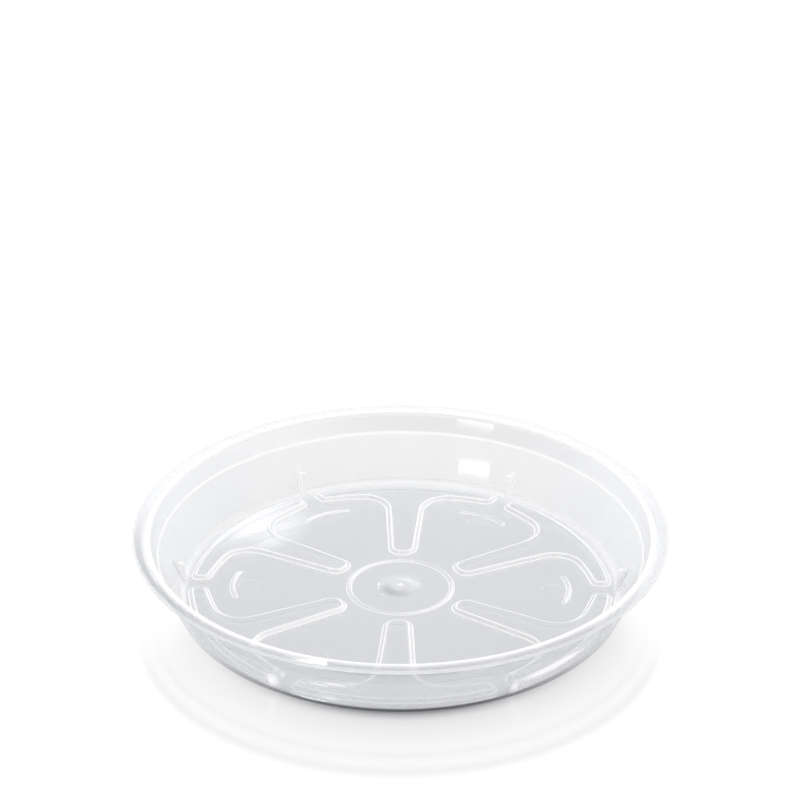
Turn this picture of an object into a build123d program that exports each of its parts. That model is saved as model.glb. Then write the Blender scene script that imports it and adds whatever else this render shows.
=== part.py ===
from build123d import *
from math import atan, degrees, hypot, radians, sin, tan
import os

# A clear round plant saucer, moulded in one shot as a single thin shell.
# Millimetres. The saucer stands on Z = 0 and its axis is the Z axis.

# Rim: a flat flange that turns outward at the top of the wall
rim_radius = 90.0
rim_width = 5.6
rim_height = 25.4
rim_thickness = 1.5
rim_edge_rounding = 0.7
rim_mouth_rounding = 2.2
under_rim_rounding = 0.8

# Wall: it flares from the floor to the rim, with one small step on the way
wall_thickness = 1.3
upper_wall_flare = 2.45
step_ledge = 0.5
step_height = 18.0
lower_wall_flare = 7.05
wall_foot_rounding = 3.3

# Floor: flat, with its underside on the table
floor_thickness = 1.5

# Raised pads: T shapes that point at the centre, all turned a little off the X axis
pad_count = 6
pattern_turn = -1.8
pad_height = 1.1
pad_bevel = 1.3
pad_edge_rounding = 0.5
pad_margin = 3.1
pad_tip_gap = 4.0
pad_tip_flat = 0.6
stem_tip_half_width = 4.6
stem_root_half_width = 7.6
arm_width = 9.0
outer_curve_setback = 6.7
inner_curve_setback = 47.7
arm_root_rounding = 9.0
arm_end_rounding = 2.6
channel_half_width = 2.6

# Hollows under the pads, which keep the floor one thickness all over
hollow_inset = 0.5

# Beads: a ring round the centre and a crescent in each bay between the pads
bead_width = 1.6
bead_height = 0.5
ring_radius = 17.5
crescent_gap = 5.0
crescent_curve = 20.0
crescent_half_angle = 24.0

# Centre: a low hollow dome, with the round trace of the moulding gate on top
dome_radius = 8.0
dome_height = 0.8
gate_radius = 1.9
gate_height = 0.25

# Round marks that the ejector pins leave beside the crescents
mark_gap = 5.7
mark_radius = 3.6
mark_depth = 0.15

# Stacking ribs on the wall, which carry the next saucer in a stack
rib_width = 2.0
rib_height = 8.1
rib_top_depth = 3.9
rib_foot_depth = 1.8
rib_rounding = 0.4

# Values that follow from the ones above
bay_angle = 360 / pad_count
half_bay = radians(bay_angle / 2)
rim_mouth_radius = rim_radius - rim_width
step_outer_radius = rim_mouth_radius - upper_wall_flare
step_radius = step_outer_radius - step_ledge
wall_foot_radius = step_radius - lower_wall_flare
wall_lean = lower_wall_flare / (step_height - floor_thickness)
wall_run = wall_thickness * hypot(1, wall_lean)
bead_radius = (bead_width**2 / 4 + bead_height**2) / (2 * bead_height)
bead_centre_height = floor_thickness + bead_height - bead_radius
dome_curve = (dome_radius**2 + dome_height**2) / (2 * dome_height)
dome_centre_height = floor_thickness + dome_height - dome_curve
gate_curve = (gate_radius**2 + gate_height**2) / (2 * gate_height)
gate_centre_height = floor_thickness + dome_height + gate_height - gate_curve
pad_tip_radius = ring_radius + pad_tip_gap
arm_outer_radius = wall_foot_radius - pad_margin
arm_inner_radius = arm_outer_radius - arm_width
crescent_crown_radius = arm_inner_radius - crescent_gap
mark_place_radius = crescent_crown_radius - mark_gap


def around(piece, start_angle):
    """Copies of a piece, one for each bay, from a start angle on."""
    return [Rot(0, 0, start_angle + index * bay_angle) * piece for index in range(pad_count)]


def rounded(section, roundings):
    """A flat section with its corners rounded, given pairs of a corner and its rounding."""
    for corner, rounding in roundings:
        section = fillet(section.vertices().sort_by_distance(corner)[0], rounding)
    return section


def shell():
    """Floor, wall, step and rim, as one section turned about the axis."""
    step_outside_height = step_height - wall_thickness
    rim_underside_height = rim_height - rim_thickness
    foot_corner = (wall_foot_radius, floor_thickness)
    foot_outside_corner = (wall_foot_radius - wall_lean * floor_thickness + wall_run, 0)
    mouth_corner = (rim_mouth_radius, rim_height)
    mouth_outside_corner = (rim_mouth_radius + wall_run, rim_underside_height)
    rim_corner = (rim_radius, rim_height)
    rim_underside_corner = (rim_radius, rim_underside_height)
    outline = Polyline(
        (0, floor_thickness),
        foot_corner,
        (step_radius, step_height),
        (step_outer_radius, step_height),
        mouth_corner,
        rim_corner,
        rim_underside_corner,
        mouth_outside_corner,
        (step_outer_radius + wall_run, step_outside_height),
        (step_radius + wall_run, step_outside_height),
        foot_outside_corner,
        (0, 0),
        close=True,
    )
    roundings = [
        (foot_corner, wall_foot_rounding),
        (foot_outside_corner, wall_foot_rounding + wall_thickness),
        (mouth_corner, rim_mouth_rounding),
        (mouth_outside_corner, under_rim_rounding),
        (rim_corner, rim_edge_rounding),
        (rim_underside_corner, rim_edge_rounding),
    ]
    return revolve(Plane.XZ * rounded(make_face(outline), roundings), Axis.Z)


def pad_outline():
    """Foot outline of a pad that points outward along the X axis: a stem, two arms, round ends."""
    stem_root_place = arm_outer_radius - pad_bevel
    stem = Polyline(
        (-stem_tip_half_width, pad_tip_radius),
        (stem_tip_half_width, pad_tip_radius),
        (stem_root_half_width, stem_root_place),
        (-stem_root_half_width, stem_root_place),
        close=True,
    )
    wedge_reach = rim_radius * tan(half_bay)
    wedge = Polyline((0, 0), (wedge_reach, rim_radius), (-wedge_reach, rim_radius), close=True)
    outer_disc = Pos(0, -outer_curve_setback) * Circle(arm_outer_radius + outer_curve_setback)
    inner_disc = Pos(0, -inner_curve_setback) * Circle(arm_inner_radius + inner_curve_setback)
    arms = (outer_disc - inner_disc) & Pos(0, channel_half_width / sin(half_bay)) * make_face(wedge)
    outline = make_face(stem) + arms
    tip_rounding = stem_tip_half_width - pad_tip_flat / 2
    roundings = [tip_rounding] * 2 + [arm_root_rounding] * 2 + [arm_end_rounding] * 4
    corners = [tuple(corner) for corner in outline.vertices().sort_by_distance((0, 0, 0))]
    return Rot(0, 0, -90) * rounded(outline, zip(corners, roundings))


def raised(outline):
    """Block on an outline, with bevelled sides and a rounded top edge."""
    block = extrude(outline, pad_height, taper=degrees(atan(pad_bevel / pad_height)))
    return fillet(block.faces().sort_by(Axis.Z)[-1].edges(), pad_edge_rounding)


def bead_ring():
    """Ring round the centre, sunk so that its top stands out of the floor as a low bead."""
    return Pos(0, 0, bead_centre_height) * Torus(ring_radius, bead_radius)


def crescent():
    """Short curved bead that bulges outward on the X axis, with ball ends."""
    section = Plane.XZ * Pos(crescent_curve, bead_centre_height) * Circle(bead_radius)
    arc = Rot(0, 0, -crescent_half_angle) * revolve(section, Axis.Z, 2 * crescent_half_angle)
    ball = Pos(crescent_curve, 0, bead_centre_height) * Rot(90, 0, 0) * Sphere(bead_radius)
    ends = [Rot(0, 0, side * crescent_half_angle) * ball for side in (-1, 1)]
    return Pos(crescent_crown_radius - crescent_curve, 0) * (arc + ends)


def cap(radius, curve, centre_height):
    """Upright post on the table about the axis, with the top of a ball as its upper end."""
    post = Cylinder(radius, rim_height, align=(Align.CENTER, Align.CENTER, Align.MIN))
    return post & Pos(0, 0, centre_height) * Sphere(curve)


def ejector_mark():
    """Shallow round recess in the floor, on the X axis."""
    place = Pos(mark_place_radius, 0, floor_thickness - mark_depth)
    return place * Cylinder(mark_radius, mark_depth, align=(Align.CENTER, Align.CENTER, Align.MIN))


def stacking_rib():
    """Upright rib on the X axis, from the foot of the wall to a flat top, half sunk in the wall."""
    top_height = floor_thickness + rib_height
    wall_radius = wall_foot_radius + wall_lean * rib_height
    rib_foot_radius = wall_foot_radius - rib_foot_depth
    rib_top_radius = wall_radius - rib_top_depth
    side = Polyline(
        (rib_foot_radius, floor_thickness / 2),
        (rib_foot_radius, floor_thickness),
        (rib_top_radius, top_height),
        (wall_radius + wall_run / 2, top_height),
        (wall_foot_radius, floor_thickness / 2),
        close=True,
    )
    rib = extrude(Plane.XZ * make_face(side), rib_width / 2, both=True)
    corner = rib.edges().filter_by(Axis.Y).sort_by_distance((rib_top_radius, 0, top_height))[0]
    return fillet(corner, rib_rounding)


def saucer():
    """The whole moulding, with the bays from the X axis round."""
    upright = Pos(0, 0, floor_thickness)
    outline = pad_outline()
    half_bay_on = pattern_turn + bay_angle / 2
    body = shell() + around(upright * raised(outline), half_bay_on)
    body += around(stacking_rib(), pattern_turn)
    body += around(crescent(), pattern_turn)
    dome = cap(dome_radius, dome_curve, dome_centre_height)
    gate = cap(gate_radius, gate_curve, gate_centre_height)
    body += [bead_ring(), dome, gate]
    body -= around(raised(offset(outline, -hollow_inset)), half_bay_on)
    body -= around(ejector_mark(), pattern_turn)
    return body - cap(dome_radius, dome_curve - floor_thickness, dome_centre_height)


os.makedirs("parts", exist_ok=True)
export_step(saucer(), "parts/saucer.step")
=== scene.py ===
import bmesh
import bpy
from math import atan, atan2, ceil, copysign, cos, hypot, pi, radians, sin, sqrt, tan
from mathutils import Matrix, Vector
from mathutils.geometry import delaunay_2d_cdt


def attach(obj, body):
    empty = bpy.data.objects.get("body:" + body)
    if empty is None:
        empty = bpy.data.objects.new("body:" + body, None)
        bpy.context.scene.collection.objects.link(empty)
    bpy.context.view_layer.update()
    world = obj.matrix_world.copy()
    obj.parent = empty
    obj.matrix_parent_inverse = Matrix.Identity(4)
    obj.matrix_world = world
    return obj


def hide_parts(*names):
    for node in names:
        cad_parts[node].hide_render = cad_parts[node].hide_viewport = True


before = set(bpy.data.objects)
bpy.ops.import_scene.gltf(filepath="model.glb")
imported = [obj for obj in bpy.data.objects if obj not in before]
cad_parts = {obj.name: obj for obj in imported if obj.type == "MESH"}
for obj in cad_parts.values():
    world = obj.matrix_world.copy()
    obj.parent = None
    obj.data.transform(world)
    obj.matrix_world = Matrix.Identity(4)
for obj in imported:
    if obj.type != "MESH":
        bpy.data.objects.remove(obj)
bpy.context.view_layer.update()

# A clear plastic plant saucer on a white table, in the part's own frame

# Camera, in metres: its distance and elevation are from the middle of the saucer's floor
camera_distance = 0.9
camera_elevation = radians(31.13)
lens_mm = 118.57
sensor_mm = 36.0
image_size = 800
floor_centre_pixel = (400.53, 586.93)
floor_top = 0.0015

# Table and studio, in metres and watts
table_size = 8.0
air_gap = 0.00005
table_colour, table_roughness = (0.9, 0.9, 0.9, 1), 0.5
# Each lamp: its name, place, direction of its first side, size, power, and whether the plastic mirrors it
lamps = [
    ("overhead", (0, 0, 1.3), (1, 0, 0), (1.0, 1.0), 2.0, True),
    ("window", (-1.127, -1.445, 0.547), (-0.432, 0.308, -0.06), (0.53, 0.02), 0.14, True),
    ("sill", (-1.08, -1.54, 0.29), (-0.481, 0.323, -0.05), (0.58, 0.012), 0.1, True),
    ("rim_lamp", (-0.1, 1.596, 1.108), (1, 0, 0), (0.04, 0.01), 0.02, True),
    ("back_lamp", (0, 1.028, 1.226), (1, 0, 0), (0.14, 0.14), 15.5, False),
]
# Brightness of the tent by the sine of the elevation, and of one oval patch in it
sky_brightness = [
    (0.0, 1.1),
    (0.28, 1.0),
    (0.4, 1.0),
    (0.482, 1.4),
    (0.493, 0.45),
    (0.62, 0.45),
    (0.85, 0.6),
]
sheen_azimuth, sheen_elevation = radians(-4.1), radians(29.6)
sheen_half_width, sheen_half_height, sheen_brightness = 0.03, 0.013, 6.0
light_bounces = 40

# The moulding, in millimetres, with the same sizes as the solid
mm = 0.001
rim_radius, rim_width, rim_height, rim_thickness = 90.0, 5.6, 25.4, 1.5
rim_edge_rounding, rim_mouth_rounding, under_rim_rounding = 0.7, 2.2, 0.8
wall_thickness, upper_wall_flare, lower_wall_flare = 1.3, 2.45, 7.05
step_ledge, step_height, step_rounding = 0.5, 18.0, 0.28
wall_foot_rounding, floor_thickness = 2.9, 1.5
pad_count, pattern_turn = 6, radians(-1.8)
pad_height, pad_bevel, pad_margin, pad_tip_gap, pad_tip_flat = 1.1, 1.3, 3.1, 4.0, 0.6
stem_tip_half_width, stem_root_half_width = 4.6, 7.6
arm_width, outer_curve_setback, inner_curve_setback = 9.0, 6.7, 47.7
arm_root_rounding, arm_end_rounding, channel_half_width = 9.0, 2.6, 2.6
hollow_inset = 0.5
ring_radius, bead_half_width, bead_peak = 17.5, 0.8, 0.72
crescent_gap, crescent_curve, crescent_half_angle = 5.0, 20.0, radians(24.0)
dome_radius, dome_height, gate_radius, gate_height = 8.0, 0.8, 1.9, 0.25
mark_gap, mark_radius, mark_depth = 5.7, 3.6, 0.15
rib_width, rib_height, rib_top_depth, rib_foot_depth, rib_rounding = 2.0, 8.1, 3.9, 1.8, 0.35

# Soft edges of the raised forms, and how finely the surfaces are divided
pad_foot_rounding, pad_top_rounding = 0.9, 1.1
bead_foot_rounding, bead_crown_rounding = 0.6, 0.7
pad_border, bead_border = 0.4, 0.45
fine_gap = 0.001
floor_ring_gap = 2.03
# On a straight run, how far its first and second points are from the rounding at its end
edge_guard, edge_band = 0.05, 0.4
crease_angle = radians(40)
turn_step = radians(12)
run_step = 1.3
long_step = 1.6
wall_divisions = 360
ring_divisions, mark_divisions, end_steps = 160, 30, 8
dome_rows, dome_divisions, dome_spread = 18, 60, 1.1
bevel_segments = 3

# Haze and painted light in the clear plastic: 1 is milky white, 0 is clear, below 0 is painted shade;
# most of it is painted highlight on edges and roundings, the rest a faint haze
# Painted highlights along the roundings of the pads, their hollows, the bead, the crescents and the marks
pad_foot_painted_highlight, pad_top_painted_highlight = 1.25, 1.25
pad_slope_painted_highlights = (0.8, 0.9, 0.9, 1.6, 0.9, 0.9)  # one for each pad
bead_painted_highlight, bead_slope_painted_highlight, bead_crown_painted_highlight, bead_slope_rise = 1.25, 1.1, 0.05, 3
hollow_painted_highlight, mark_painted_highlight = 0.15, 0.5
# Painted highlights on raised edges are brightest on the side that faces this way, as if lit from there,
# and the others have a share of it
painted_highlight_side = Vector((cos(radians(-45)), sin(radians(-45))))
dim_side = 0.85
# The wall and rim, from the floor's upper face round to its underside: a faint haze on most runs, a
# slight painted shade on the upper wall, painted highlights on the inner foot and the mouth, painted
# shade on the outer foot
wall_foot_painted_highlight, inner_wall_haze, step_haze, upper_wall_haze = 0.35, 0.2, 0.15, -0.09
mouth_painted_highlight, flange_haze, rim_edge_haze, under_rim_haze = 0.75, 0.12, 0.1, 0.25
outer_upper_wall_haze, outer_wall_haze, outer_step_haze, outer_foot_painted_shade = 0.0, 0.12, 0.12, -0.95
# Painted highlight on the ribs
rib_painted_highlight = 0.8
# Colour of the painted shade seen on the plastic, and of the lamps' light that its faces take away
painted_shade_and_loss_colour = (0.05, 0.055, 0.08)
# Painted shade on the outer foot keeps to the front and grows along its rounding; more painted shade
# darkens the outer wall's foot in front
front_focus, foot_growth = 3.0, 0.8
foot_shade, foot_shade_height = 0.5, 6.0
# A painted highlight along the wall's step, where the plastic is left untinted
step_gleam, gleam_reach = 1.0, 0.65
# The dome: a painted glint on its nub, and painted shade on one side and a painted highlight on the other
nub_painted_glint, nub_spread = 1.0, 1.6
dome_painted_shade, dome_painted_shade_way, dome_painted_highlight, dome_painted_highlight_way = -0.25, radians(-130), 0.3, radians(50)
dome_slope_place, dome_slope_spread = 5.0, 2.8
# Painted reflection streaks on the wall's outer face: middle angle, half angle, height, half height, lean
# and strength
painted_reflection_streaks = [
    (radians(-52.5), radians(11), 10.6, 2.3, 4.0, 1.9),
    (radians(-62.5), radians(1.8), 6.5, 4.2, -4.0, 0.75),
    (radians(-121), radians(2.6), 8.0, 4.8, 5.0, 1.05),
    (radians(-106), radians(9), 13.0, 1.3, 5.0, 0.7),
    (radians(-107), radians(4), 6.0, 1.3, 0.0, 0.8),
]
# The flange: a painted shade arc on its left, and on its front a painted highlight on the crest and on
# the edge
flange_painted_shade, flange_painted_shade_way, flange_painted_shade_spread = -0.55, radians(203), radians(36)
flange_painted_shade_radius, flange_painted_shade_reach = 88.0, 2.4
crest_painted_highlight, crest_radius, crest_reach, crest_growth = 0.75, 85.4, 3.2, 2.2
front_edge_painted_highlight, front_edge_reach = 0.7, 1.2
# Painted light on the sides of the upper wall's inner face: middle angle and half angle of each
side_painted_light, painted_light_sides = 0.2, [(radians(170), radians(90)), (0.0, radians(60))]

# The plastic's colour and gloss, by how much a face is seen edge-on: 0 is face on
clear_colours = [
    (0.0, (0.885, 0.886, 0.889)),
    (0.48, (0.91, 0.915, 0.927)),
    (0.9, (0.92, 0.925, 0.935)),
    (1.0, (0.82, 0.83, 0.85)),
]
gloss_amounts = [(0.0, 0.05), (0.4, 0.065), (0.6, 0.1), (0.8, 0.18), (0.95, 0.4), (1.0, 0.8)]
gloss_roughness = 0.03
white = (1.0, 1.0, 1.0)
milk_colour, milk_through, most_milky, milky_gloss_loss = (0.97, 0.972, 0.98, 1), 0.3, 0.97, 0.7
# Noise that makes the milky haze and painted highlights uneven, and waves in the gloss
patch_scale, patch_detail, patch_amounts = 70.0, 2.0, [(0.3, 0.92), (0.65, 1.1)]
wave_scale, wave_detail, wave_strength, wave_height = 45.0, 1.0, 0.025, 0.001
# Numbers of a Mix node's sockets for colours: factor, first and second, and the result
mix_colour_inputs, mix_colour_output = (0, 6, 7), 2

# Share of the lamps' light that each face takes away on its way to the table: most at the outer
# foot in front, less at the sides and back, and a little more on one side of the lower wall
floor_loss, wall_loss, step_loss, mouth_loss, flange_loss, rib_loss = 0.07, 0.1, 0.25, 0.32, 0.015, 0.05
foot_loss, foot_loss_height, foot_loss_focus, loss_band = 0.82, 2.5, 5.0, 1.1
side_loss_share, loss_start, loss_growth = 0.3, 0.12, 0.3
shade_loss, shade_height, shade_way = 0.12, 14.0, radians(-75)

# Values that follow from the ones above
half_bay = pi / pad_count
bay_turn = 2 * half_bay
rim_mouth_radius = rim_radius - rim_width
step_outer_radius = rim_mouth_radius - upper_wall_flare
step_radius = step_outer_radius - step_ledge
wall_foot_radius = step_radius - lower_wall_flare
wall_lean = lower_wall_flare / (step_height - floor_thickness)
wall_run = wall_thickness * hypot(1, wall_lean)
floor_ring_radius = wall_foot_radius - floor_ring_gap
pad_tip_radius = ring_radius + pad_tip_gap
arm_outer_radius = wall_foot_radius - pad_margin
arm_inner_radius = arm_outer_radius - arm_width
crescent_crown_radius = arm_inner_radius - crescent_gap
mark_place_radius = crescent_crown_radius - mark_gap


def turned(point, angle):
    """A flat point turned about the axis."""
    x, y = point
    return Vector((x * cos(angle) - y * sin(angle), x * sin(angle) + y * cos(angle)))


def soft(distance):
    """A smooth bump: 1 at no distance, 0 from a distance of 1 on."""
    return max(0, 1 - distance**2) ** 2


def apart(one, other):
    """The smallest turn between two angles."""
    return abs((one - other + pi) % (2 * pi) - pi)


def run(start, end, step):
    """Points from a start up to but not at an end, no further apart than a step."""
    count = max(1, ceil((end - start).length / step))
    return [start.lerp(end, index / count) for index in range(count)]


def guarded(start, end):
    """Points between two arcs: one close to each, so that the run between them stays straight."""
    way = (end - start).normalized()
    length = (end - start).length
    if length < 3 * edge_guard:
        return []
    ends = [edge_guard, edge_band] if length > 3 * edge_band + long_step else [edge_guard]
    first, last = start + way * ends[-1], end - way * ends[-1]
    middle = run(first, last, long_step)[1:]
    return [start + way * gap for gap in ends] + middle + [end - way * gap for gap in reversed(ends)]


def rounded_path(corners):
    """Points and their haze and painted light along a path.

    Each corner is its place, its rounding, the haze and painted light of its rounding and that of the run
    after it.
    """
    spots = [Vector(corner[:2]) for corner in corners]
    path = [(spots[0], corners[0][4])]
    before_haze_and_painted_light = corners[0][4]
    for before, spot, after, corner in zip(spots, spots[1:], spots[2:], corners[1:]):
        radius, haze_and_painted_light, after_haze_and_painted_light = corner[2:]
        way_in, way_out = (spot - before).normalized(), (after - spot).normalized()
        turn = atan2(way_in.x * way_out.y - way_in.y * way_out.x, way_in.dot(way_out))
        first = spot - way_in * radius * tan(abs(turn) / 2)
        middle = first + turned(way_in, copysign(pi / 2, turn)) * radius
        steps = 2 * ceil(abs(turn) / turn_step / 2)
        path += [(point, before_haze_and_painted_light) for point in guarded(path[-1][0], first)]
        for step in range(steps + 1):
            share = step / steps
            ground = before_haze_and_painted_light + (after_haze_and_painted_light - before_haze_and_painted_light) * share
            lift = sqrt(max(0, sin(pi * share))) if haze_and_painted_light > 0 else share**foot_growth
            path.append((middle + turned(first - middle, turn * share), ground + (haze_and_painted_light - ground) * lift))
        before_haze_and_painted_light = after_haze_and_painted_light
    last_run = guarded(path[-1][0], spots[-1])[:-1] + [spots[-1]]
    path += [(point, before_haze_and_painted_light) for point in last_run]
    return [(point.x, point.y, haze_and_painted_light) for point, haze_and_painted_light in path]


def arc(middle, radius, start, end):
    """Pairs of a point on an arc and its direction from the middle."""
    count = max(2, ceil(abs(end - start) / turn_step), ceil(abs(end - start) * radius / run_step))
    angles = [start + (end - start) * index / count for index in range(count + 1)]
    ways = [Vector((cos(angle), sin(angle))) for angle in angles]
    return [(middle + way * radius, way) for way in ways]


def meet(start, way, middle, radius):
    """Where a straight line leaves a circle."""
    along = (middle - start).dot(way)
    return start + way * (along + sqrt(radius**2 - (start + way * along - middle).length_squared))


def pad_outline():
    """Pairs of a point on a pad's foot outline and the direction out of the pad, for the pad along Y."""
    tip_rounding = stem_tip_half_width - pad_tip_flat / 2
    tip = Vector((stem_tip_half_width, pad_tip_radius))
    root = Vector((stem_root_half_width, arm_outer_radius - pad_bevel))
    stem_way = (root - tip).normalized()
    stem_out = Vector((stem_way.y, -stem_way.x))
    channel_way = Vector((sin(half_bay), cos(half_bay)))
    channel_out = Vector((cos(half_bay), -sin(half_bay)))
    outer_middle, inner_middle = Vector((0, -outer_curve_setback)), Vector((0, -inner_curve_setback))
    outer_radius = arm_outer_radius + outer_curve_setback
    inner_radius = arm_inner_radius + inner_curve_setback
    channel_start = -channel_out * (channel_half_width + arm_end_rounding)
    tip_start = Vector((0, pad_tip_radius + tip_rounding))
    tip_lift = (tip_start - (tip - stem_out * tip_rounding)).y / stem_way.y
    tip_middle = tip - stem_out * tip_rounding + stem_way * tip_lift
    root_start = tip + stem_out * arm_root_rounding
    root_middle = meet(root_start, stem_way, inner_middle, inner_radius - arm_root_rounding)
    inner_end = meet(channel_start, channel_way, inner_middle, inner_radius + arm_end_rounding)
    outer_end = meet(channel_start, channel_way, outer_middle, outer_radius - arm_end_rounding)
    stem_angle = atan2(stem_out.y, stem_out.x)
    channel_angle = atan2(channel_out.y, channel_out.x)
    ways = (root_middle - inner_middle, inner_end - inner_middle, outer_end - outer_middle)
    root_angle, inner_angle, outer_angle = (atan2(way.y, way.x) for way in ways)
    half = arc(tip_middle, tip_rounding, -pi / 2, stem_angle)
    root_arc = arc(root_middle, arm_root_rounding, stem_angle + pi, root_angle)
    half += [(point, -way) for point, way in root_arc]
    half += [(point, -way) for point, way in arc(inner_middle, inner_radius, root_angle, inner_angle)[1:]]
    half += arc(inner_end, arm_end_rounding, inner_angle - pi, channel_angle)[1:]
    half += arc(outer_end, arm_end_rounding, channel_angle, outer_angle)
    half += arc(outer_middle, outer_radius, outer_angle, pi / 2)[1:]
    whole = []
    for (point, way), (following, _) in zip(half, half[1:]):
        whole += [(spot, way) for spot in run(point, following, run_step)]
    mirrored = [(Vector((-point.x, point.y)), Vector((-way.x, way.y))) for point, way in reversed(whole)]
    return whole + [half[-1]] + mirrored


class Surface:
    """A mesh in the making: its corners in millimetres, their haze and painted light, and its faces."""

    def __init__(self):
        self.corners = []
        self.hazes_and_painted_light = []
        self.faces = []

    def loop(self, points, height, hazes_and_painted_light):
        """A closed row of new corners at one height."""
        start = len(self.corners)
        self.corners += [(point[0], point[1], height) for point in points]
        self.hazes_and_painted_light += hazes_and_painted_light
        return list(range(start, len(self.corners)))

    def circle(self, middle, radius, height, haze_and_painted_light, count):
        """A closed row of new corners on a circle, with a haze and painted light that may depend on the
        angle.
        """
        angles = [2 * pi * index / count for index in range(count)]
        points = [middle + turned((radius, 0), angle) for angle in angles]
        return self.loop(points, height, [haze_and_painted_light(angle) if callable(haze_and_painted_light) else haze_and_painted_light for angle in angles])

    def bridge(self, one, other):
        """A band of faces between two rows of the same length."""
        for index in range(len(one)):
            after = (index + 1) % len(one)
            self.faces.append((one[index], one[after], other[after], other[index]))

    def stack(self, loops):
        """Bands between each two neighbouring rows; gives back the first and the last row."""
        for one, other in zip(loops, loops[1:]):
            self.bridge(one, other)
        return loops[0], loops[-1]

    def fill(self, outer, holes):
        """Flat faces between an outer row and the rows inside it."""
        rows = [outer] + holes
        ids = [corner for row in rows for corner in row]
        places = {corner: index for index, corner in enumerate(ids)}
        rings = [[places[corner] for corner in row] for row in rows]
        spots = [Vector(self.corners[corner][:2]) for corner in ids]
        all_triangles = 0
        found = delaunay_2d_cdt(spots, [], rings, all_triangles, fine_gap, True)
        _, _, triangles, from_corners, _, from_rings = found
        for triangle, inside in zip(triangles, from_rings):
            if list(inside) == [0]:
                self.faces.append(tuple(ids[from_corners[corner][0]] for corner in triangle))


def swell(distance, reach, height):
    """Height of a low smooth mound at a distance from its middle."""
    return height * (1 + cos(pi * min(distance / reach, 1))) / 2


def slope_painted_highlight(haze_and_painted_light, slope, share, way):
    """Painted highlight of a raised edge that faces a way: more on the side that faces the painted
    light's way.
    """
    facing = max(0, way.dot(painted_highlight_side))
    return haze_and_painted_light * (dim_side + (1 - dim_side) * facing) + slope * share * facing**2


def floor_face(surface, level, inset, outline):
    """The pads of the floor's upper face, or the hollows of its underside; gives back their borders."""
    holes = []
    share = hollow_painted_highlight if inset else 1
    # The pads' foot and top roundings carry painted highlights
    profile = rounded_path([
        (inset - pad_border, 0, 0, 0, 0),
        (inset, 0, pad_foot_rounding, pad_foot_painted_highlight * share, 0),
        (inset + pad_bevel, pad_height, pad_top_rounding, pad_top_painted_highlight * share, 0),
        (inset + pad_bevel + bead_border, pad_height, 0, 0, 0),
    ])
    for bay in range(pad_count):
        turn = pattern_turn + (bay + 0.5) * bay_turn - pi / 2
        slope = pad_slope_painted_highlights[bay] * share
        rows = []
        for depth, z, haze_and_painted_light in profile:
            # 0 at the pad's foot and top, 1 half way up
            rise = 4 * z / pad_height * (1 - z / pad_height)
            hazes_and_painted_light = [slope_painted_highlight(haze_and_painted_light, slope, rise, turned(way, turn)) for _, way in outline]
            points = [turned(point - way * depth, turn) for point, way in outline]
            rows.append(surface.loop(points, level + z, hazes_and_painted_light))
        first, last = surface.stack(rows)
        surface.fill(last, [])
        holes.append(first)
    return holes


def dome_painted_light(distance):
    """Painted light and shade of the dome at a distance from its middle, as a function of the angle."""
    slope = soft((distance - dome_slope_place) / dome_slope_spread)

    def haze_and_painted_light(angle):
        painted_shade = dome_painted_shade * max(0, cos(angle - dome_painted_shade_way))
        light = dome_painted_highlight * max(0, cos(angle - dome_painted_highlight_way)) ** 2
        return nub_painted_glint * soft(distance / nub_spread) + slope * (painted_shade + light)

    return haze_and_painted_light


def dome(surface, level):
    """Low dome over the centre, on the upper face with the gate's nub; gives back its border."""
    is_upper = level > 0
    nub_height = gate_height if is_upper else 0
    reach, nub_reach = dome_radius * dome_spread, gate_radius * dome_spread
    distances = [reach * (1 - index / dome_rows) for index in range(dome_rows)]
    middle = Vector((0, 0))
    rows = []
    for distance in distances:
        height = swell(distance, reach, dome_height) + swell(distance, nub_reach, nub_height)
        haze_and_painted_light = dome_painted_light(distance) if is_upper else 0
        rows.append(surface.circle(middle, distance, level + height, haze_and_painted_light, dome_divisions))
    first, last = surface.stack(rows)
    top = len(surface.corners)
    surface.corners.append((0, 0, level + dome_height + nub_height))
    # Painted glint at the nub's top
    surface.hazes_and_painted_light.append(nub_painted_glint if is_upper else 0)
    surface.faces += [(last[i], last[(i + 1) % dome_divisions], top) for i in range(dome_divisions)]
    return first


def tent():
    """Section across a bead, from the floor on one side to the floor on the other."""
    foot = bead_half_width + bead_border
    return rounded_path([
        (-foot, 0, 0, 0, 0),
        (-bead_half_width, 0, bead_foot_rounding, bead_painted_highlight, 0),
        (0, bead_peak, bead_crown_rounding, bead_crown_painted_highlight, 0),
        (bead_half_width, 0, bead_foot_rounding, bead_painted_highlight, 0),
        (foot, 0, 0, 0, 0),
    ])


def bead_edge_painted_highlight(haze_and_painted_light, x, z, way):
    """Painted highlight of a bead's point whose outer side faces a way."""
    if abs(x) > fine_gap:
        facing_way = way * copysign(1, -x)
    else:
        facing_way = way * copysign(1, way.dot(painted_highlight_side))
    return slope_painted_highlight(haze_and_painted_light, bead_slope_painted_highlight, min(1, bead_slope_rise * z / bead_peak), facing_way)


def ring_bead(surface):
    """The ring round the centre; gives back its outer and inner borders."""
    middle = Vector((0, 0))
    rows = []
    for x, z, haze_and_painted_light in tent():
        def around(angle):
            return bead_edge_painted_highlight(haze_and_painted_light, x, z, turned((1, 0), angle))

        rows.append(surface.circle(middle, ring_radius - x, floor_thickness + z, around, ring_divisions))
    return surface.stack(rows)


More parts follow.
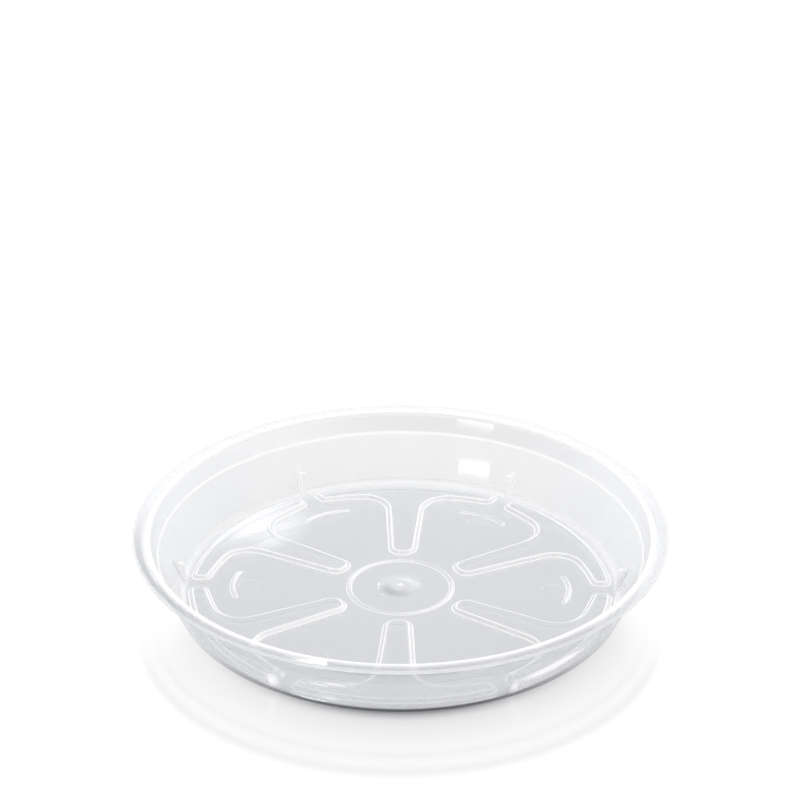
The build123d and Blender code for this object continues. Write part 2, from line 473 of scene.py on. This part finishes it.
def crescent_line():
    """Pairs of a point on a crescent's middle line and a direction out of it, all the way round it."""
    middle = Vector((crescent_crown_radius - crescent_curve, 0))
    there = arc(middle, crescent_curve, -crescent_half_angle, crescent_half_angle)
    back = [(point, -way) for point, way in reversed(there)]
    half_turn = [pi * step / end_steps for step in range(1, end_steps)]
    end = [(there[-1][0], turned((1, 0), crescent_half_angle + turn)) for turn in half_turn]
    start = [(there[0][0], turned((-1, 0), turn - crescent_half_angle)) for turn in half_turn]
    return there + end + back + start


def bay_marks(surface, level):
    """Crescents and ejector marks in the bays; gives back their borders."""
    half_tent = [step for step in tent() if step[0] < fine_gap]
    mark = rounded_path([
        (-bead_border, 0, 0, 0, 0),
        (0, 0, mark_depth, mark_painted_highlight, 0),
        (mark_depth, -mark_depth, mark_depth, mark_painted_highlight, 0),
        (bead_border, -mark_depth, 0, 0, 0),
    ])
    line = crescent_line()
    holes = []
    for bay in range(pad_count):
        turn = pattern_turn + bay * bay_turn
        rows = []
        for x, z, haze_and_painted_light in half_tent:
            hazes_and_painted_light = [bead_edge_painted_highlight(haze_and_painted_light, x, z, turned(way, turn)) for _, way in line]
            points = [turned(point - way * x, turn) for point, way in line]
            rows.append(surface.loop(points, level + z, hazes_and_painted_light))
        first, last = surface.stack(rows)
        holes.append(first)
        middle = turned((mark_place_radius, 0), turn)
        rows = []
        for x, z, haze_and_painted_light in mark:
            rows.append(surface.circle(middle, mark_radius - x, level + z, haze_and_painted_light, mark_divisions))
        first, last = surface.stack(rows)
        surface.fill(last, [])
        holes.append(first)
    return holes


def shell_section():
    """Section of the wall and rim, from the floor's upper face round to its underside."""
    rim_underside = rim_height - rim_thickness
    step_underside = step_height - wall_thickness
    mouth_outside = rim_mouth_radius + wall_run
    foot_outside = wall_foot_radius - wall_lean * floor_thickness + wall_run
    return rounded_path([
        (floor_ring_radius, floor_thickness, 0, 0, 0),
        (wall_foot_radius, floor_thickness, wall_foot_rounding, wall_foot_painted_highlight, inner_wall_haze),
        (step_radius, step_height, step_rounding, step_haze, step_haze),
        (step_outer_radius, step_height, step_rounding, step_haze, upper_wall_haze),
        (rim_mouth_radius, rim_height, rim_mouth_rounding, mouth_painted_highlight, flange_haze),
        (rim_radius, rim_height, rim_edge_rounding, rim_edge_haze, rim_edge_haze),
        (rim_radius, rim_underside, rim_edge_rounding, rim_edge_haze, under_rim_haze),
        (mouth_outside, rim_underside, under_rim_rounding, under_rim_haze, outer_upper_wall_haze),
        (step_outer_radius + wall_run, step_underside, step_rounding, outer_step_haze, outer_step_haze),
        (step_radius + wall_run, step_underside, step_rounding, outer_step_haze, outer_wall_haze),
        (foot_outside, 0, wall_foot_rounding + wall_thickness, outer_foot_painted_shade, 0),
        (floor_ring_radius, 0, 0, 0, 0),
    ])


def on_inner_side(radius, height):
    """Whether a place of the section is on the wall's inner side."""
    half_way_through = wall_foot_radius + wall_lean * (height - floor_thickness) + wall_run / 2
    return height > floor_thickness - fine_gap and radius < half_way_through


def shell_haze_and_painted_light(radius, height, haze_and_painted_light):
    """Haze and painted light and shade of the wall and rim at a place of their section, as a function of
    the angle.
    """
    is_inner = on_inner_side(radius, height)
    is_flange = radius > rim_mouth_radius and height > rim_height - rim_thickness / 2
    lines = [] if is_inner else painted_reflection_streaks

    def around(angle):
        front = max(0, -sin(angle))
        # Painted shade on the outer foot and on the foot of the outer wall, strongest in front
        if haze_and_painted_light < 0 and not is_inner:
            return haze_and_painted_light * front**front_focus
        total = haze_and_painted_light if is_inner else haze_and_painted_light - foot_shade * soft(height / foot_shade_height) * front
        # Painted reflection streaks on the outer wall
        for way, spread, line_height, half_height, lean, strength in lines:
            along = ((angle - way + pi) % (2 * pi) - pi) / spread
            above = (height - line_height - lean * along / 2) / half_height
            total += strength * soft(along) * soft(above)
        if is_flange:
            # Painted shade on the flange's left, and painted highlights on its front crest and edge
            painted_shade = soft(apart(angle, flange_painted_shade_way) / flange_painted_shade_spread)
            total += flange_painted_shade * painted_shade * soft((radius - flange_painted_shade_radius) / flange_painted_shade_reach)
            crest = crest_painted_highlight * front * (1 + crest_growth * (1 - front))
            total += crest * soft((radius - crest_radius) / crest_reach)
            total += front_edge_painted_highlight * front * soft((rim_radius - radius) / front_edge_reach)
        elif is_inner and height > step_height + fine_gap:
            # Painted light on the sides of the upper wall
            total += side_painted_light * sum(soft(apart(angle, way) / spread) for way, spread in painted_light_sides)
        return total

    return around


def gleam(x, y, z):
    """Painted highlight at one of the moulding's places, where the plastic is left untinted: only along
    the step.
    """
    ledge = max(0, abs(hypot(x, y) - step_radius - step_ledge / 2) - step_ledge / 2)
    return step_gleam * soft(hypot(z - step_height, ledge) / gleam_reach)


def light_loss(x, y, z):
    """Share of the light that the face at a place of the moulding takes away."""
    radius = hypot(x, y)
    if radius < floor_ring_radius + fine_gap:
        return floor_loss
    front = max(0, -y / radius)
    growth = min(1, max(0, (front - loss_start) / loss_growth))
    share = side_loss_share + (1 - side_loss_share) * growth
    if abs(radius - rim_mouth_radius) < loss_band and z > rim_height - rim_mouth_rounding:
        return share * mouth_loss
    if radius > rim_mouth_radius + wall_run:
        return share * flange_loss
    if abs(z - step_height) < loss_band / 2:
        return share * step_loss
    loss = share * wall_loss
    if z < foot_loss_height and not on_inner_side(radius, z):
        loss += (foot_loss - loss) * (1 - z / foot_loss_height) * front**foot_loss_focus
    shaded_side = max(0, cos(atan2(y, x) - shade_way))
    return min(foot_loss, loss + shade_loss * shaded_side * max(0, 1 - z / shade_height))


def rib():
    """Upright rib on the X axis, half sunk in the wall, as a closed piece."""
    top_height = floor_thickness + rib_height
    wall_radius = wall_foot_radius + wall_lean * rib_height
    side = [
        (wall_foot_radius - rib_foot_depth, floor_thickness / 2),
        (wall_foot_radius - rib_foot_depth, floor_thickness),
        (wall_radius - rib_top_depth, top_height),
        (wall_radius + wall_run / 2, top_height),
        (wall_foot_radius, floor_thickness / 2),
    ]
    form = bmesh.new()
    face = form.faces.new([form.verts.new((x, -rib_width / 2, z)) for x, z in side])
    pushed = bmesh.ops.extrude_face_region(form, geom=[face])["geom"]
    corners = [part for part in pushed if isinstance(part, bmesh.types.BMVert)]
    bmesh.ops.translate(form, verts=corners, vec=(0, rib_width, 0))
    bmesh.ops.recalc_face_normals(form, faces=form.faces)
    round_profile = 0.5
    bmesh.ops.bevel(
        form,
        geom=list(form.edges),
        offset=rib_rounding,
        segments=bevel_segments,
        profile=round_profile,
        affect="EDGES",
    )
    # The ribs carry a painted highlight
    haze_and_painted_light, loss = form.verts.layers.float.new("haze_and_painted_light"), form.verts.layers.float.new("loss")
    for corner in form.verts:
        corner[haze_and_painted_light], corner[loss] = rib_painted_highlight, rib_loss
    return form


def mesh_object(name, form):
    """An object from a bmesh in millimetres."""
    bmesh.ops.scale(form, vec=(mm, mm, mm), verts=form.verts)
    mesh = bpy.data.meshes.new(name)
    form.to_mesh(mesh)
    form.free()
    made = bpy.data.objects.new(name, mesh)
    bpy.context.scene.collection.objects.link(made)
    return made


def moulding():
    """The saucer without its ribs as one closed surface, finer and softer than the solid's own mesh."""
    surface = Surface()
    middle = Vector((0, 0))
    rows = []
    for x, z, haze_and_painted_light in shell_section():
        rows.append(surface.circle(middle, x, z, shell_haze_and_painted_light(x, z, haze_and_painted_light), wall_divisions))
    upper_ring, lower_ring = surface.stack(rows)
    outline = pad_outline()
    outside, inside = ring_bead(surface)
    surface.fill(inside, [dome(surface, floor_thickness)])
    holes = floor_face(surface, floor_thickness, 0, outline) + bay_marks(surface, floor_thickness)
    surface.fill(upper_ring, holes + [outside])
    holes = floor_face(surface, 0, hollow_inset, outline)
    surface.fill(lower_ring, holes + [dome(surface, 0)])
    mesh = bpy.data.meshes.new("form")
    mesh.from_pydata(surface.corners, [], surface.faces)
    mesh.attributes.new("haze_and_painted_light", "FLOAT", "POINT").data.foreach_set("value", surface.hazes_and_painted_light)
    for name, found in (("loss", light_loss), ("gleam", gleam)):
        values = [found(*corner) for corner in surface.corners]
        mesh.attributes.new(name, "FLOAT", "POINT").data.foreach_set("value", values)
    form = bmesh.new()
    form.from_mesh(mesh)
    bmesh.ops.remove_doubles(form, verts=form.verts, dist=fine_gap)
    bmesh.ops.recalc_face_normals(form, faces=form.faces)
    return mesh_object("moulding", form)


def join_ribs(body):
    """The stacking ribs become part of the moulding."""
    one = rib()
    six = bmesh.new()
    for bay in range(pad_count):
        mesh = bpy.data.meshes.new("rib")
        one.to_mesh(mesh)
        mesh.transform(Matrix.Rotation(pattern_turn + bay * bay_turn, 4, "Z"))
        six.from_mesh(mesh)
    one.free()
    ribs = mesh_object("ribs", six)
    joint = body.modifiers.new("ribs", "BOOLEAN")
    joint.operation, joint.solver, joint.object = "UNION", "MANIFOLD", ribs
    held = bpy.context.evaluated_depsgraph_get()
    mesh = bpy.data.meshes.new_from_object(body.evaluated_get(held))
    body.modifiers.clear()
    body.data = mesh
    bpy.data.objects.remove(ribs)
    mesh.shade_smooth()
    mesh.set_sharp_from_angle(angle=crease_angle)


def node(tree, kind, **sockets):
    """A new shader node with some of its inputs set by name."""
    made = tree.nodes.new(kind)
    for name, value in sockets.items():
        made.inputs[name.replace("_", " ")].default_value = value
    return made


def new_material(name):
    """An empty material and its node tree, with its output node."""
    material = bpy.data.materials.new(name)
    material.use_nodes = True
    material.node_tree.nodes.clear()
    output = material.node_tree.nodes.new("ShaderNodeOutputMaterial")
    return material, material.node_tree, output


def ramp(tree, source, stops):
    """Colours or grey values that follow a source."""
    made = tree.nodes.new("ShaderNodeValToRGB")
    elements = made.color_ramp.elements
    while len(elements) < len(stops):
        elements.new(0.5)
    for element, (place, value) in zip(elements, stops):
        element.position = place
        element.color = (*value, 1) if isinstance(value, tuple) else (value, value, value, 1)
    tree.links.new(source, made.inputs[0])
    return made.outputs[0]


def computed(tree, kind, *values):
    """Result of a math node from sockets and numbers."""
    made = tree.nodes.new("ShaderNodeMath")
    made.operation = kind
    for socket, value in zip(made.inputs, values):
        if isinstance(value, (int, float)):
            socket.default_value = value
        else:
            tree.links.new(value, socket)
    return made.outputs[0]


def mix_colours(tree, amount, first, second):
    """Two colours mixed by a socket."""
    made = tree.nodes.new("ShaderNodeMix")
    made.data_type = "RGBA"
    for index, value in zip(mix_colour_inputs, (amount, first, second)):
        if isinstance(value, tuple):
            made.inputs[index].default_value = (*value, 1)
        else:
            tree.links.new(value, made.inputs[index])
    return made.outputs[mix_colour_output]


def mix_shaders(tree, amount, first, second):
    """Two shaders mixed by a socket."""
    made = tree.nodes.new("ShaderNodeMixShader")
    for socket, value in zip(made.inputs, (amount, first, second)):
        tree.links.new(value, socket)
    return made.outputs[0]


def attribute(tree, name):
    """A value that the mesh holds at each of its points."""
    made = tree.nodes.new("ShaderNodeAttribute")
    made.attribute_name = name
    return made.outputs["Fac"]


def clear_plastic():
    """Clear glossy plastic with painted highlights as milky edges and painted shade as dark ones, which
    lets the lamps through to the table.
    """
    material, tree, output = new_material("clear_plastic")
    facing = node(tree, "ShaderNodeLayerWeight").outputs["Facing"]
    haze_and_painted_light, loss, painted_gleam = (attribute(tree, name) for name in ("haze_and_painted_light", "loss", "gleam"))
    place = tree.nodes.new("ShaderNodeTexCoord").outputs["Object"]
    paths = tree.nodes.new("ShaderNodeLightPath")
    straight = computed(tree, "MAXIMUM", paths.outputs["Is Shadow Ray"], paths.outputs["Is Diffuse Ray"])
    seen_only = computed(tree, "SUBTRACT", 1.0, straight)

    patches = node(tree, "ShaderNodeTexNoise", Scale=patch_scale, Detail=patch_detail)
    tree.links.new(place, patches.inputs["Vector"])
    uneven = computed(tree, "MULTIPLY", haze_and_painted_light, ramp(tree, patches.outputs["Fac"], patch_amounts))
    milk_and_highlight = computed(tree, "MINIMUM", computed(tree, "MAXIMUM", uneven, 0.0), most_milky)
    # Haze above 0 shows as milk, mostly painted highlight; below 0 it is painted shade, a darker tint
    painted_shade = computed(tree, "MAXIMUM", computed(tree, "MULTIPLY", haze_and_painted_light, -1.0), 0.0)

    seen = mix_colours(tree, painted_shade, ramp(tree, facing, clear_colours), painted_shade_and_loss_colour)
    # The painted gleam along the step leaves the plastic untinted
    seen = mix_colours(tree, painted_gleam, seen, white)
    passed = mix_colours(tree, loss, white, painted_shade_and_loss_colour)
    clear = tree.nodes.new("ShaderNodeBsdfTransparent")
    tree.links.new(mix_colours(tree, straight, seen, passed), clear.inputs["Color"])

    front = node(tree, "ShaderNodeBsdfDiffuse", Color=milk_colour)
    through = node(tree, "ShaderNodeBsdfTranslucent", Color=milk_colour)
    milk = node(tree, "ShaderNodeMixShader", Fac=milk_through)
    tree.links.new(front.outputs[0], milk.inputs[1])
    tree.links.new(through.outputs[0], milk.inputs[2])
    milk_and_highlight_amount = computed(tree, "MULTIPLY", milk_and_highlight, seen_only)
    inner = mix_shaders(tree, milk_and_highlight_amount, clear.outputs[0], milk.outputs[0])

    gloss_loss = computed(tree, "MULTIPLY", computed(tree, "MAXIMUM", milk_and_highlight, painted_gleam), milky_gloss_loss)
    gloss_amount = computed(tree, "MULTIPLY", ramp(tree, facing, gloss_amounts), seen_only)
    gloss_amount = computed(tree, "MULTIPLY", gloss_amount, computed(tree, "SUBTRACT", 1.0, gloss_loss))
    gloss = node(tree, "ShaderNodeBsdfGlossy", Roughness=gloss_roughness)
    waves = node(tree, "ShaderNodeTexNoise", Scale=wave_scale, Detail=wave_detail)
    tree.links.new(place, waves.inputs["Vector"])
    bump = node(tree, "ShaderNodeBump", Strength=wave_strength, Distance=wave_height)
    tree.links.new(waves.outputs["Fac"], bump.inputs["Height"])
    tree.links.new(bump.outputs["Normal"], gloss.inputs["Normal"])
    tree.links.new(mix_shaders(tree, gloss_amount, inner, gloss.outputs[0]), output.inputs["Surface"])
    return material


def table_finish():
    """Smooth white table top."""
    material, tree, output = new_material("white_table")
    surface = node(tree, "ShaderNodeBsdfPrincipled", Base_Color=table_colour, Roughness=table_roughness)
    tree.links.new(surface.outputs["BSDF"], output.inputs["Surface"])
    return material


def make_table():
    """A wide white table top just under the saucer."""
    mesh = bpy.data.meshes.new("table")
    half = table_size / 2
    corners = [(x * half, y * half, -air_gap) for x, y in ((-1, -1), (1, -1), (1, 1), (-1, 1))]
    mesh.from_pydata(corners, [], [(0, 1, 2, 3)])
    table = bpy.data.objects.new("table", mesh)
    bpy.context.scene.collection.objects.link(table)
    mesh.materials.append(table_finish())


def area_light(name, place, across, size, power):
    """A flat lamp that faces the saucer, with its first side along a direction."""
    data = bpy.data.lights.new(name, "AREA")
    data.shape = "RECTANGLE"
    data.size, data.size_y = size
    data.energy = power
    light = bpy.data.objects.new(name, data)
    back = Vector(place).normalized()
    side = Vector(across)
    side = (side - back * side.dot(back)).normalized()
    up = back.cross(side)
    light.matrix_world = Matrix.Translation(place) @ Matrix((side, up, back)).transposed().to_4x4()
    bpy.context.scene.collection.objects.link(light)
    return light


def dot_product(tree, direction, axis):
    """Dot product of a direction's socket and a fixed vector."""
    made = tree.nodes.new("ShaderNodeVectorMath")
    made.operation = "DOT_PRODUCT"
    tree.links.new(direction, made.inputs[0])
    made.inputs[1].default_value = axis
    return made.outputs["Value"]


def sheen_patch(tree, direction):
    """Brightness of a soft oval patch of the studio, seen in a direction."""
    level = cos(sheen_elevation)
    middle = Vector((sin(sheen_azimuth) * level, cos(sheen_azimuth) * level, sin(sheen_elevation)))
    side = Vector((cos(sheen_azimuth), -sin(sheen_azimuth), 0))
    squares = []
    for axis, half in ((side, sheen_half_width), (middle.cross(side), sheen_half_height)):
        offset = dot_product(tree, direction, axis / half)
        squares.append(computed(tree, "MULTIPLY", offset, offset))
    outside = computed(tree, "ADD", *squares)
    inside = computed(tree, "MAXIMUM", computed(tree, "SUBTRACT", 1.0, outside), 0.0)
    ahead = computed(tree, "GREATER_THAN", dot_product(tree, direction, middle), 0.0)
    return computed(tree, "MULTIPLY", computed(tree, "MULTIPLY", inside, ahead), sheen_brightness)


def make_studio():
    """A soft light tent round the table, and its lamps."""
    world = bpy.data.worlds.new("studio")
    world.use_nodes = True
    tree = world.node_tree
    direction = tree.nodes.new("ShaderNodeTexCoord").outputs["Generated"]
    parts = tree.nodes.new("ShaderNodeSeparateXYZ")
    tree.links.new(direction, parts.inputs[0])
    tent_light = ramp(tree, parts.outputs["Z"], sky_brightness)
    total = computed(tree, "ADD", tent_light, sheen_patch(tree, direction))
    background = tree.nodes["Background"]
    background.inputs["Color"].default_value = (*white, 1)
    tree.links.new(total, background.inputs["Strength"])
    bpy.context.scene.world = world
    for name, place, across, size, power, is_mirrored in lamps:
        area_light(name, place, across, size, power).visible_glossy = is_mirrored


def make_camera():
    """The photograph's view."""
    data = bpy.data.cameras.new("camera")
    data.sensor_width = sensor_mm
    data.lens = lens_mm
    camera = bpy.data.objects.new("camera", data)
    pixels = lens_mm / sensor_mm * image_size
    right_of_middle, below_middle = (c - image_size / 2 for c in floor_centre_pixel)
    pitch = camera_elevation - atan(below_middle / pixels)
    away, up = camera_distance * cos(camera_elevation), camera_distance * sin(camera_elevation)
    camera.location = (0, -away, up + floor_top)
    camera.rotation_euler = (pi / 2 - pitch, 0, atan(right_of_middle / pixels))
    bpy.context.scene.collection.objects.link(camera)
    bpy.context.scene.camera = camera


def let_light_through():
    """Enough bounces for light to pass all the clear walls in its way."""
    cycles = bpy.context.scene.cycles
    cycles.max_bounces = light_bounces
    cycles.glossy_bounces = light_bounces
    cycles.transmission_bounces = light_bounces
    cycles.transparent_max_bounces = light_bounces


let_light_through()
make_camera()
body = moulding()
join_ribs(body)
body.data.materials.clear()
body.data.materials.append(clear_plastic())
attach(body, "root")
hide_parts("saucer")
make_table()
make_studio()
bpy.context.scene.view_settings.view_transform = "Standard"
